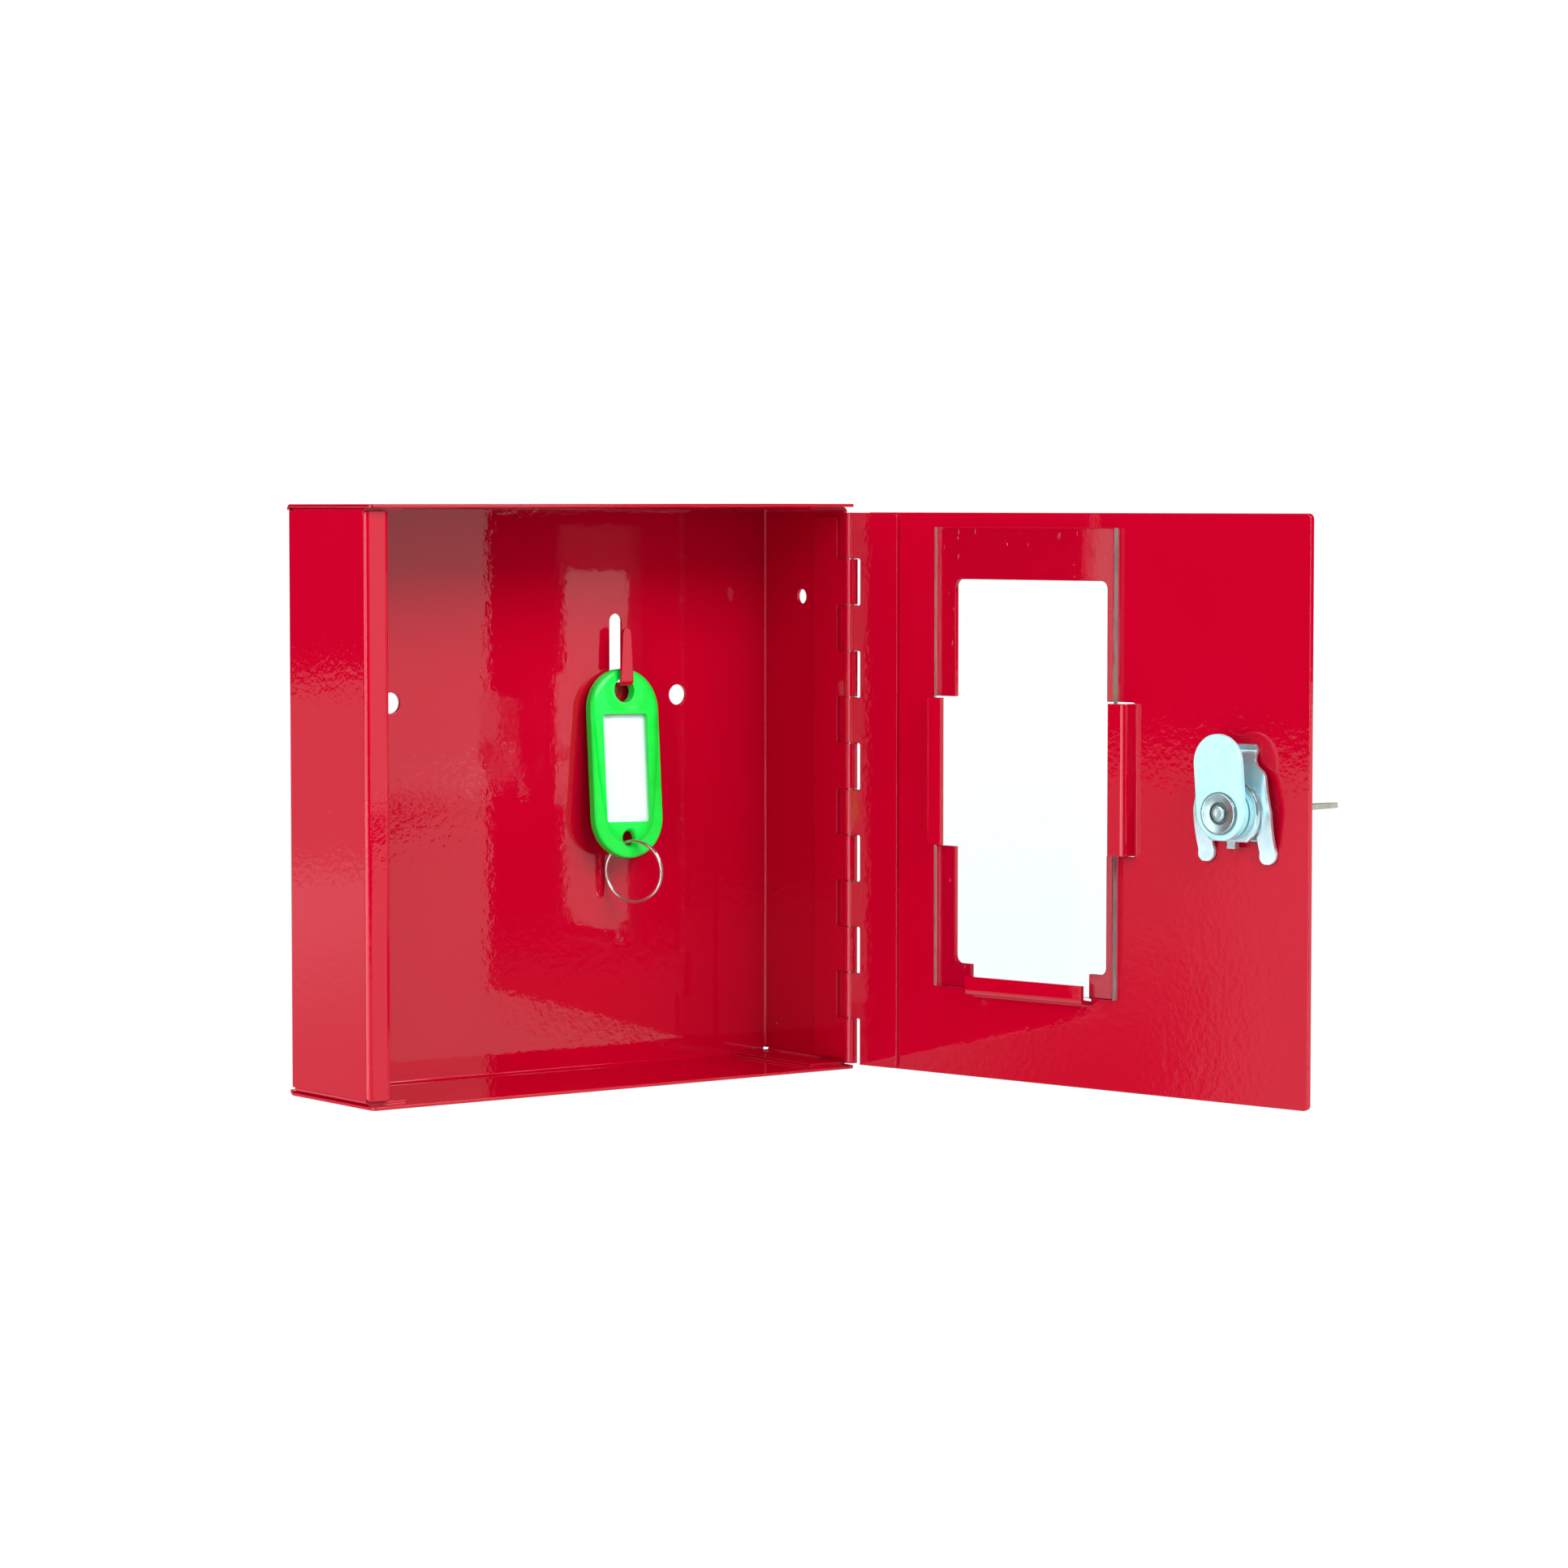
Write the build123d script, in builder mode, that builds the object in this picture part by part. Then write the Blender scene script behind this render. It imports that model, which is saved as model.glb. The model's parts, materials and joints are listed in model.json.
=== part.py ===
from build123d import *
from math import cos, radians, sin, sqrt
import os

os.makedirs("parts", exist_ok=True)

# A wall-mounted break glass key box, with its door swung open.
# The origin lies on the back face, midway between the two wall holes.
# +X is to the right as seen from the front, +Y points into the wall, +Z is up.
# Sizes named *_rise are heights above the underside of the case.

# Clearances
seam_gap = 0.3            # between faces of pieces that move past each other
running_gap = 0.05        # radial, on the hinge pin and the lock plug
contact_gap = 0.05        # between pieces that are clamped together
through = 50.0            # depth of cuts that run right through

# Case
case_width = 150.0
case_height = 150.0
case_depth = 40.0         # back face to the front edge of the top and bottom
case_sheet = 0.8
fold_radius = 1.4         # outside radius of every fold in the case
plate_corner = 1.2        # rounding of the top's and bottom's front corners
rim_setback = 2.3         # the rim's face behind the front edge of the top and bottom
rim_width = 7.0
rim_lip = 5.2             # how far the rim turns back into the case
rim_foot = 1.9            # the rim's lower end above the underside
rim_head = 1.6            # its upper end below the roof
rim_corner = 1.2
hinge_wall_setback = 3.6  # the right wall's front edge behind the same edge
fold_tab = 12.0           # side-wall tabs under the top and over the bottom
corner_relief = 0.3       # back corners' folds below the top

# Wall holes and chain hole
wall_hole_rise = 99.0
wall_hole_pitch = 90.0
wall_hole_diameter = 5.5
chain_hole_diameter = 4.0
chain_hole_inset = 17.4   # in from the back face
chain_hole_rise = 125.2

# Key hook, lanced from the back
hook_offset = 25.0        # to the right of the case's middle
hook_arm_rise = 102.3     # middle of the arm's metal
hook_slot_width = 4.0
hook_slot_length = 18.3
hook_reach = 5.1          # back panel's inner face to the middle of the tongue
hook_tongue_length = 14.9
hook_width = 3.9
hook_tip_width = 2.8
hook_bend = 1.2           # radius to the middle of the metal

# Piano hinge
leaf_sheet = 0.8
knuckle_diameter = 3.6
knuckle_set = 1.3         # axis to the leaves' inner faces
knuckle_count = 12
knuckle_gap = 0.2
hinge_foot_gap = 0.5      # above the case's bottom
hinge_head_gap = 1.5      # below the case's top
notch_depth = 4.4         # axis to the root of a leaf's notches
notch_corner = 0.6
case_leaf_reach = 14.6    # axis to the leaf's far edge
door_leaf_reach = 17.2
leaf_corner = 1.5
case_leaf_inset = 1.1     # shorter than the knuckle row at each end
pin_swage_length = 2.0    # tight fit in the lowest knuckle

# Door
door_angle = 101.5        # swung open from shut
door_sheet = 1.2
door_edge_start = 6.0     # axis to the sheet's hinge-side edge
door_free_inset = 0.2     # free edge in from the case's left side, when shut
door_foot_gap = 0.4       # above the case's bottom
door_head_gap = 1.4       # below the case's top
door_corner = 1.4

# Window in the door
window_width = 50.0
window_height = 100.0
window_middle = 62.25     # from the hinge axis
window_rise = 30.6
window_corner = 2.0

# Pane, and the joggled clasps that hold it
pane_width = 59.2
pane_height = 119.5
pane_thickness = 2.0
pane_rise = 24.5
pane_shift = 1.5          # from the window's middle, towards the hinge
pane_chamfer = 0.2
clasp_length = 38.4
clasp_notch = 9.0         # cut back from the window's side
clasp_root = 33.3         # window's middle to the foot of a side clasp's joggle
clasp_cover = 5.8         # joggle's foot to the clasp's free edge
clasp_run = 1.1           # sideways run of the joggle
clasp_bend = 0.9          # radius to the middle of the metal
clasp_slit = 0.35
clasp_notch_corner = 1.6  # where a side clasp's slits end
sill_notch = 7.8          # cut down from the window's lower edge
sill_root = 7.7           # window's lower edge down to the foot of the joggle
sill_cover = 4.8
sill_run = 0.7

# Lock housing and door hole
lock_inset = 21.3         # lock's axis in from the door's free edge
lock_rise = 74.0
head_diameter = 21.0
head_depth = 3.0
head_edge = 0.8
barrel_diameter = 18.0
barrel_flats = 14.2       # across, above and below the axis
barrel_edge = 0.4
barrel_hole_gap = 0.15
barrel_length = 4.7       # behind the door's inner face
groove_diameter = 13.8
groove_start = 0.3        # behind the door's inner face
groove_end = 3.4
lug_width = 2.4
lug_start = 1.6           # behind the door's inner face

# Lock core
lock_tilt = 4.5           # the cam leans this far from upright, towards the hinge
plug_diameter = 11.5
plug_lip_diameter = 14.0
plug_lip_depth = 1.4
tail_diameter = 9.0
tail_flats = 7.0
stop_diameter = 13.2
stop_thickness = 1.6
cam_thickness = 1.5
cam_width = 14.5
cam_reach = 19.6          # lock axis to the cam's tip
cam_heel = 6.8            # lock axis to the cam's other end
cam_edge = 0.25
rivet_diameter = 10.6
rivet_height = 0.9        # of its rim, above the cam
rivet_rim = 0.45          # width of the flat on the rim
rivet_edge = 0.2
rivet_dish_height = 0.45  # inner end of the dish that slopes in from the rim
rivet_well_diameter = 5.2
rivet_well_height = 0.15
rivet_pin_diameter = 4.2
rivet_pin_height = 0.85
rivet_pin_edge = 0.4
rivet_stem_diameter = 3.0
rivet_stem_length = 2.4

# Spring clip behind the door; heights are from the lock's axis
clip_sheet = 0.9
clip_fit = 0.1            # beside the barrel's groove
clip_half_width = 11.8
clip_tip = 12.6           # leg tips below the axis
clip_foot = 9.7           # bends of the legs below the axis
clip_side_top = 0.4
clip_shoulder_half_width = 9.7
clip_shoulder = 9.9
clip_neck_half_width = 5.9
clip_neck = 12.4
clip_head_half_width = 6.2
clip_head_bend = 15.6
clip_head = 17.0
clip_leg_corner = 2.2
clip_side_curve = 3.0     # rounding of the sides, shoulders and neck
clip_corner = 0.7
clip_head_curl = 0.7      # how far the head turns up
clip_foot_curl = 0.35
clip_crown = 2.9          # height of the bow's middle above the axis

# Wafers and their springs
wafer_count = 4
wafer_pitch = 1.7
wafer_start = 2.1         # middle of the first wafer behind the plug's face
wafer_thickness = 0.9
wafer_breadth = 5.0
wafer_inset = 0.2         # inside the plug's surface
wafer_slot_gap = 0.1
wafer_window_gap = 0.3    # around the blade
wafer_ear_breadth = 1.5
wafer_ear_height = 0.8
wafer_ear_rise = 1.6
wafer_spring_diameter = 1.0
wafer_spring_wire = 0.25
wafer_spring_length = 2.8
wafer_spring_turns = 5
wafer_spring_offset = 3.3

# Key
key_thickness = 1.3
blade_width = 7.0
blade_gap = 0.1
blade_length = 8.2        # past the plug's face
blade_cut = 0.6
blade_cut_width = 0.8
key_neck_length = 6.0
key_neck_width = 8.4
bow_width = 22.0
bow_length = 20.3
bow_corner = 6.0
bow_hole_diameter = 4.5
bow_hole_inset = 5.0

# Key tag
tag_width = 21.8
tag_length = 50.2
tag_thickness = 2.8
tag_edge = 0.6
tag_lean = 5.4            # its foot stands off the back
tag_sway = 1.0            # its foot hangs a little to the left
tag_standoff = 3.45       # back face to the eye's middle
eye_radius = 3.2
eye_gap = 0.5             # above the hook's arm
eye_inset = 5.75          # eye's middle below the tag's top
ring_hole_radius = 2.1
ring_hole_edge = 0.6      # chamfer at both faces
ring_hole_drop = 39.2     # eye's middle to the ring hole's middle
label_width = 14.1
label_length = 28.5
label_drop = 20.6         # eye's middle to the label's middle
label_corner = 0.6
label_thickness = 0.2
cover_thickness = 0.5
pocket_depth = 1.8

# Split ring
ring_diameter = 16.9
ring_wall = 0.75
ring_depth = 1.3
ring_edge = 0.3
ring_turn = 60.5          # its axis from the straight-in direction
ring_slip = 1.85          # its middle in front of the tag's hole
ring_lift = 0.9          # above the bottom of the tag's hole
ring_groove = 0.12
ring_groove_depth = 0.25

# Derived places
underside = -wall_hole_rise
roof = underside + case_height
half_width = case_width / 2
mid_sheet = case_sheet / 2
mid_fold = fold_radius - mid_sheet
fold_end = fold_radius + case_sheet
wall_inner_x = half_width - case_sheet
rim_face_y = -case_depth + rim_setback
rim_height = case_height - rim_foot - rim_head
left_wall_front = rim_face_y + fold_radius
right_wall_front = -case_depth + hinge_wall_setback
knuckle_radius = knuckle_diameter / 2
bore_radius = knuckle_radius - leaf_sheet
pin_radius = bore_radius - running_gap
axis_x = wall_inner_x - leaf_sheet + knuckle_set
axis_y = rim_face_y - seam_gap + leaf_sheet - knuckle_set
hinge_rise = case_sheet + hinge_foot_gap
hinge_length = case_height - case_sheet - hinge_head_gap - hinge_rise
knuckle_pitch = hinge_length / knuckle_count

# Offsets from the hinge axis plane towards the door's inner side
door_inner = knuckle_set - leaf_sheet
door_outer = door_inner - door_sheet
door_mid = door_inner - door_sheet / 2
pane_back = door_inner + seam_gap
clasp_mid = pane_back + pane_thickness + seam_gap + door_sheet / 2
head_face = door_outer - head_depth
barrel_end = door_inner + barrel_length
stop_face = barrel_end + seam_gap
cam_face = stop_face + stop_thickness
cam_back = cam_face + cam_thickness
blade_end = head_face + blade_length

# On door_plane x runs from the hinge axis along the door, y is height above the
# underside, and the normal points to the door's inner side.
door_reach = axis_x + half_width - door_free_inset
lock_reach = door_reach - lock_inset
door_foot = case_sheet + door_foot_gap
door_head = case_height - case_sheet - door_head_gap
swing = radians(door_angle)
door_along = Vector(-cos(swing), -sin(swing), 0)
door_inward = Vector(-sin(swing), cos(swing), 0)
door_plane = Plane(origin=(axis_x, axis_y, underside), x_dir=door_along, z_dir=door_inward)
window_side = window_width / 2
clasp_middle = window_rise + window_height / 2

# On lock_plane the origin is the lock's axis; core_plane turns with the cam.
lock_origin = door_plane.from_local_coords((lock_reach, lock_rise, 0))
lock_plane = Plane(origin=lock_origin, x_dir=door_along, z_dir=door_inward)
core_plane = Plane(lock_plane.location * Rotation(0, 0, lock_tilt))

# On tag_plane the origin is the middle of the eye and y runs up the tag.
arm_top = underside + hook_arm_rise + mid_sheet
eye_rise = eye_gap - sqrt(eye_radius**2 - (hook_width / 2) ** 2)
eye_origin = (hook_offset, -tag_standoff, arm_top + eye_rise)
upright_tag = Plane(origin=eye_origin, x_dir=(1, 0, 0), z_dir=(0, -1, 0))
tag_plane = Plane(upright_tag.location * Rotation(-tag_lean, 0, -tag_sway))
tag_face = tag_thickness / 2
tag_middle_drop = tag_length / 2 - eye_inset

# ------------------------------------------------------------------ case

with BuildPart() as case_tray:
    # Bottom, back and top
    with BuildSketch(Plane.YZ.offset(-half_width)):
        with BuildLine():
            FilletPolyline(
                (-case_depth, underside + mid_sheet),
                (-mid_sheet, underside + mid_sheet),
                (-mid_sheet, roof - mid_sheet),
                (-case_depth, roof - mid_sheet),
                radius=mid_fold,
            )
        trace(line_width=case_sheet)
    extrude(amount=case_width)
    fillet(case_tray.edges().filter_by(Axis.Z).group_by(Axis.Y)[0], plate_corner)
    # Between the top's and bottom's own folds, the back stops short of the side folds
    with BuildSketch(Plane.XZ):
        for side in (-1, 1):
            with Locations((side * half_width, (underside + roof) / 2)):
                Rectangle(2 * fold_radius, case_height - 2 * fold_radius)
    extrude(amount=fold_radius, mode=Mode.SUBTRACT)
    # Left wall, back and right wall
    with BuildSketch(Plane.XY.offset(underside + fold_end)):
        with BuildLine():
            FilletPolyline(
                (-half_width + mid_sheet, left_wall_front),
                (-half_width + mid_sheet, -mid_sheet),
                (half_width - mid_sheet, -mid_sheet),
                (half_width - mid_sheet, right_wall_front),
                radius=mid_fold,
            )
        trace(line_width=case_sheet)
    extrude(amount=case_height - 2 * fold_end)
    # The side folds rise almost to the top
    with BuildSketch(Plane.XY.offset(underside + fold_end)):
        for side in (-1, 1):
            with BuildLine():
                JernArc(
                    start=(side * (half_width - fold_radius), -mid_sheet),
                    tangent=(side, 0),
                    radius=mid_fold,
                    arc_size=-side * 90,
                )
            trace(line_width=case_sheet)
    extrude(amount=case_height - case_sheet - corner_relief - fold_end)
    # Rim down the left of the opening, with its lip
    with BuildSketch(Plane.XY.offset(underside + rim_foot)):
        with BuildLine():
            FilletPolyline(
                (-half_width + rim_width - mid_sheet, rim_face_y + rim_lip),
                (-half_width + rim_width - mid_sheet, rim_face_y + mid_sheet),
                (-half_width + mid_sheet, rim_face_y + mid_sheet),
                (-half_width + mid_sheet, left_wall_front),
                radius=mid_fold,
            )
        trace(line_width=case_sheet)
    extrude(amount=rim_height)
    rim_middle = (-half_width + rim_width / 2, underside + rim_foot + rim_height / 2)
    for side, depth in ((-1, fold_radius), (1, rim_lip)):
        with BuildSketch(Plane.XZ.offset(-rim_face_y)):
            with Locations((rim_middle[0] + side * rim_width / 2, rim_middle[1])):
                Rectangle(2 * rim_corner, rim_height)
            with Locations(rim_middle):
                RectangleRounded(rim_width, rim_height, rim_corner, mode=Mode.SUBTRACT)
        extrude(amount=-depth, mode=Mode.SUBTRACT)
    # Side walls with their tabs folded over the bottom and under the top
    for side, front in ((-1, left_wall_front), (1, right_wall_front)):
        with BuildSketch(Plane.XZ.offset(fold_end)):
            with BuildLine():
                FilletPolyline(
                    (side * (half_width - fold_tab), underside + case_sheet + mid_sheet),
                    (side * (half_width - mid_sheet), underside + case_sheet + mid_sheet),
                    (side * (half_width - mid_sheet), roof - case_sheet - mid_sheet),
                    (side * (half_width - fold_tab), roof - case_sheet - mid_sheet),
                    radius=mid_fold,
                )
            trace(line_width=case_sheet)
        extrude(amount=-front - fold_end)
    # Slot that the hook was lanced from
    slot_foot = underside + hook_arm_rise + mid_sheet
    slot_straight = hook_slot_length - hook_slot_width / 2
    with BuildSketch(Plane.XZ):
        with Locations((hook_offset, slot_foot + slot_straight / 2)):
            Rectangle(hook_slot_width, slot_straight)
        with Locations((hook_offset, slot_foot + slot_straight)):
            Circle(hook_slot_width / 2)
    extrude(amount=case_sheet, mode=Mode.SUBTRACT)
    # Wall holes
    with BuildSketch(Plane.XZ):
        with Locations((-wall_hole_pitch / 2, 0), (wall_hole_pitch / 2, 0)):
            Circle(wall_hole_diameter / 2)
    extrude(amount=case_sheet, mode=Mode.SUBTRACT)
    # Chain hole
    with BuildSketch(Plane.YZ.offset(wall_inner_x)):
        with Locations((-chain_hole_inset, underside + chain_hole_rise)):
            Circle(chain_hole_diameter / 2)
    extrude(amount=case_sheet, mode=Mode.SUBTRACT)
    # Arm and tongue of the hook
    tongue_y = -case_sheet - hook_reach
    tip_z = underside + hook_arm_rise + hook_tongue_length
    with BuildSketch(Plane.YZ.offset(hook_offset - hook_width / 2)):
        with BuildLine():
            FilletPolyline(
                (-mid_sheet, underside + hook_arm_rise),
                (tongue_y, underside + hook_arm_rise),
                (tongue_y, tip_z),
                radius=hook_bend,
            )
        trace(line_width=case_sheet)
    extrude(amount=hook_width)
    # The tongue narrows to a rounded tip
    taper_z = underside + hook_arm_rise + hook_bend
    tip_radius = hook_tip_width / 2
    with BuildSketch(Plane.XZ.offset(-tongue_y - case_sheet)):
        with Locations((hook_offset, (taper_z + tip_z) / 2)):
            Rectangle(2 * hook_width, tip_z - taper_z)
        with BuildLine():
            RadiusArc(
                (hook_offset - tip_radius, tip_z - tip_radius),
                (hook_offset + tip_radius, tip_z - tip_radius),
                tip_radius,
            )
            Polyline(
                (hook_offset + tip_radius, tip_z - tip_radius),
                (hook_offset + hook_width / 2, taper_z),
                (hook_offset - hook_width / 2, taper_z),
                (hook_offset - tip_radius, tip_z - tip_radius),
            )
        make_face(mode=Mode.SUBTRACT)
    extrude(amount=2 * case_sheet, mode=Mode.SUBTRACT)
case_tray.part.label = "case_tray"
export_step(case_tray.part, "parts/case_tray.step")

# ------------------------------------------------------------------ piano hinge
# Both leaves are drawn on planes whose x runs from the hinge axis across the leaf and
# whose normal points to the leaf's inner face.
case_leaf_plane = Plane(origin=(axis_x, axis_y, underside), x_dir=(0, -1, 0), z_dir=(-1, 0, 0))
tab_height = knuckle_pitch - knuckle_gap

with BuildPart() as case_hinge_leaf:
    with BuildSketch(case_leaf_plane.offset(knuckle_set - leaf_sheet)):
        with Locations((-case_leaf_reach / 2, hinge_rise + hinge_length / 2)):
            blank = Rectangle(case_leaf_reach, hinge_length - 2 * case_leaf_inset)
        fillet(blank.vertices().group_by(Axis.X)[0], leaf_corner)
        for n in range(1, knuckle_count, 2):
            with Locations((0, hinge_rise + (n + 1 / 2) * knuckle_pitch)):
                RectangleRounded(
                    2 * notch_depth, knuckle_pitch + knuckle_gap, notch_corner, mode=Mode.SUBTRACT
                )
    extrude(amount=leaf_sheet)
    for n in range(0, knuckle_count, 2):
        knuckle_foot = underside + hinge_rise + n * knuckle_pitch + knuckle_gap / 2
        with BuildSketch(Plane.XY.offset(knuckle_foot)):
            with Locations((axis_x, axis_y)):
                Circle(knuckle_radius)
        extrude(amount=tab_height)
    with BuildSketch(Plane.XY.offset(underside)):
        with Locations((axis_x, axis_y)):
            Circle(bore_radius)
    extrude(amount=case_height, mode=Mode.SUBTRACT)
case_hinge_leaf.part.label = "case_hinge_leaf"
export_step(case_hinge_leaf.part, "parts/case_hinge_leaf.step")

with BuildPart() as door_hinge_leaf:
    with BuildSketch(door_plane.offset(door_inner)):
        with Locations((door_leaf_reach / 2, hinge_rise + hinge_length / 2)):
            blank = Rectangle(door_leaf_reach, hinge_length)
        fillet(blank.vertices().group_by(Axis.X)[-1], leaf_corner)
        for n in range(0, knuckle_count, 2):
            with Locations((0, hinge_rise + (n + 1 / 2) * knuckle_pitch)):
                RectangleRounded(
                    2 * notch_depth, knuckle_pitch + knuckle_gap, notch_corner, mode=Mode.SUBTRACT
                )
    extrude(amount=leaf_sheet)
    for n in range(1, knuckle_count, 2):
        knuckle_foot = underside + hinge_rise + n * knuckle_pitch + knuckle_gap / 2
        with BuildSketch(Plane.XY.offset(knuckle_foot)):
            with Locations((axis_x, axis_y)):
                Circle(knuckle_radius)
        extrude(amount=tab_height)
    with BuildSketch(Plane.XY.offset(underside)):
        with Locations((axis_x, axis_y)):
            Circle(bore_radius)
    extrude(amount=case_height, mode=Mode.SUBTRACT)
door_hinge_leaf.part.label = "door_hinge_leaf"
export_step(door_hinge_leaf.part, "parts/door_hinge_leaf.step")

with BuildPart() as hinge_pin:
    pin_foot = underside + hinge_rise + knuckle_gap / 2
    with BuildSketch(Plane.XY.offset(pin_foot)):
        with Locations((axis_x, axis_y)):
            Circle(pin_radius)
    extrude(amount=hinge_length - knuckle_gap)
    with BuildSketch(Plane.XY.offset(pin_foot)):
        with Locations((axis_x, axis_y)):
            Circle(bore_radius)
    extrude(amount=pin_swage_length)
hinge_pin.part.label = "hinge_pin"
export_step(hinge_pin.part, "parts/hinge_pin.step")

# ------------------------------------------------------------------ door

with BuildPart() as door_panel:
    with BuildSketch(door_plane.offset(door_outer)):
        with Locations(((door_edge_start + door_reach) / 2, (door_foot + door_head) / 2)):
            RectangleRounded(door_reach - door_edge_start, door_head - door_foot, door_corner)
        with Locations((window_middle, clasp_middle)):
            RectangleRounded(window_width, window_height, window_corner, mode=Mode.SUBTRACT)
            RectangleRounded(
                window_width + 2 * clasp_notch,
                clasp_length + 2 * clasp_slit,
                clasp_notch_corner,
                mode=Mode.SUBTRACT,
            )
        with Locations((window_middle, window_rise)):
            Rectangle(clasp_length + 2 * clasp_slit, 2 * sill_notch, mode=Mode.SUBTRACT)
    extrude(amount=door_sheet)
    # Hole for the lock's barrel
    with BuildSketch(lock_plane.offset(door_outer)):
        Circle(barrel_diameter / 2 + barrel_hole_gap)
        Rectangle(through, barrel_flats + 2 * barrel_hole_gap, mode=Mode.INTERSECT)
    extrude(amount=door_sheet, mode=Mode.SUBTRACT)
    # Side clasps
    clasp_top = door_plane.from_local_coords((window_middle, clasp_middle + clasp_length / 2, 0))
    with BuildSketch(Plane(origin=clasp_top, x_dir=door_along, z_dir=(0, 0, -1))):
        for side in (-1, 1):
            with BuildLine():
                FilletPolyline(
                    (side * (window_side + clasp_notch + door_sheet), door_mid),
                    (side * clasp_root, door_mid),
                    (side * (clasp_root - clasp_run), clasp_mid),
                    (side * (clasp_root - clasp_cover), clasp_mid),
                    radius=clasp_bend,
                )
            trace(line_width=door_sheet)
    extrude(amount=clasp_length)
    # Lower clasp
    sill_end = door_plane.from_local_coords((window_middle - clasp_length / 2, window_rise, 0))
    with BuildSketch(Plane(origin=sill_end, x_dir=(0, 0, 1), z_dir=door_along)):
        with BuildLine():
            FilletPolyline(
                (-sill_notch - door_sheet, door_mid),
                (-sill_root, door_mid),
                (-sill_root + sill_run, clasp_mid),
                (-sill_root + sill_cover, clasp_mid),
                radius=clasp_bend,
            )
        trace(line_width=door_sheet)
    extrude(amount=clasp_length)
door_panel.part.label = "door_panel"
export_step(door_panel.part, "parts/door_panel.step")

with BuildPart() as glass_pane:
    with BuildSketch(door_plane.offset(pane_back)):
        with Locations((window_middle - pane_shift, pane_rise + pane_height / 2)):
            Rectangle(pane_width, pane_height)
    extrude(amount=pane_thickness)
    pane_ends = glass_pane.faces().sort_by(SortBy.AREA)[-2:]
    chamfer(pane_ends.edges(), pane_chamfer)
glass_pane.part.label = "glass_pane"
export_step(glass_pane.part, "parts/glass_pane.step")

# ------------------------------------------------------------------ lock

with BuildPart() as lock_housing:
    with BuildSketch(lock_plane.offset(head_face)):
        Circle(head_diameter / 2)
    extrude(amount=head_depth)
    head_rim = lock_housing.faces().sort_by(Axis(lock_origin, door_inward))[0]
    fillet(head_rim.edges(), head_edge)
    with BuildSketch(lock_plane.offset(door_outer)):
        Circle(barrel_diameter / 2)
        Rectangle(barrel_diameter, barrel_flats, mode=Mode.INTERSECT)
    extrude(amount=barrel_end - door_outer)
    barrel_rim = lock_housing.faces().sort_by(Axis(lock_origin, door_inward))[-1]
    chamfer(barrel_rim.edges(), barrel_edge)
    # Groove for the spring clip, crossed by a lug
    with BuildSketch(lock_plane.offset(door_inner + groove_start)):
        Circle(barrel_diameter / 2 + contact_gap)
        Circle(groove_diameter / 2, mode=Mode.SUBTRACT)
    extrude(amount=groove_end - groove_start, mode=Mode.SUBTRACT)
    with BuildSketch(lock_plane.offset(door_inner + lug_start)):
        with Locations((0, -(barrel_diameter + plug_diameter) / 4)):
            Rectangle(lug_width, (barrel_diameter - plug_diameter) / 2 - 2 * running_gap)
    extrude(amount=groove_end - lug_start)
    # Seat for the plug's lip, and the plug's bore
    with BuildSketch(lock_plane.offset(head_face)):
        Circle(plug_lip_diameter / 2 + running_gap)
    extrude(amount=plug_lip_depth + seam_gap, mode=Mode.SUBTRACT)
    with BuildSketch(lock_plane.offset(head_face)):
        Circle(plug_diameter / 2 + running_gap)
    extrude(amount=through, mode=Mode.SUBTRACT)
lock_housing.part.label = "lock_housing"
export_step(lock_housing.part, "parts/lock_housing.step")

with BuildPart() as lock_clip:
    # Bowed strip, seen from the side
    clip_low = door_inner + clip_sheet / 2 + contact_gap
    clip_high = door_inner + groove_end - clip_sheet / 2 - contact_gap
    with BuildSketch(Plane(origin=lock_origin, x_dir=(0, 0, 1), z_dir=door_along)):
        with BuildLine():
            Line((-clip_tip, clip_low + clip_foot_curl), (-clip_foot, clip_low))
            ThreePointArc(
                (-clip_foot, clip_low), (clip_crown, clip_high), (clip_head_bend, clip_low)
            )
            Line((clip_head_bend, clip_low), (clip_head, clip_low + clip_head_curl))
        trace(line_width=clip_sheet)
    extrude(amount=clip_half_width, both=True)
    # Outline, seen from behind the door
    with BuildSketch(lock_plane) as clip_outline:
        with BuildLine():
            Polyline(
                (-clip_half_width, -clip_tip),
                (clip_half_width, -clip_tip),
                (clip_half_width, clip_side_top),
                (clip_shoulder_half_width, clip_shoulder),
                (clip_neck_half_width, clip_neck),
                (clip_head_half_width, clip_head),
                (-clip_head_half_width, clip_head),
                (-clip_neck_half_width, clip_neck),
                (-clip_shoulder_half_width, clip_shoulder),
                (-clip_half_width, clip_side_top),
                close=True,
            )
        make_face()
        bends = clip_outline.vertices().group_by(Axis.Y)
        fillet(bends[1] + bends[2] + bends[3], clip_side_curve)
        fillet(clip_outline.vertices().group_by(Axis.Y)[-1], clip_corner)
        Circle(groove_diameter / 2 + clip_fit, mode=Mode.SUBTRACT)
        with Locations((0, -clip_tip / 2)):
            Rectangle(groove_diameter + 2 * clip_fit, clip_tip, mode=Mode.SUBTRACT)
        fillet(clip_outline.vertices().group_by(Axis.Y)[0], clip_leg_corner)
    extrude(amount=through, both=True, mode=Mode.INTERSECT)
lock_clip.part.label = "lock_clip"
export_step(lock_clip.part, "parts/lock_clip.step")

# Middles of the wafers, as offsets towards the door's inner side
plug_front = head_face
wafer_middles = [plug_front + wafer_start + n * wafer_pitch for n in range(wafer_count)]
wafer_radius = plug_diameter / 2 - wafer_inset
wafer_slot = wafer_thickness + 2 * wafer_slot_gap
ear_middle = (wafer_breadth + wafer_ear_breadth) / 2

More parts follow.
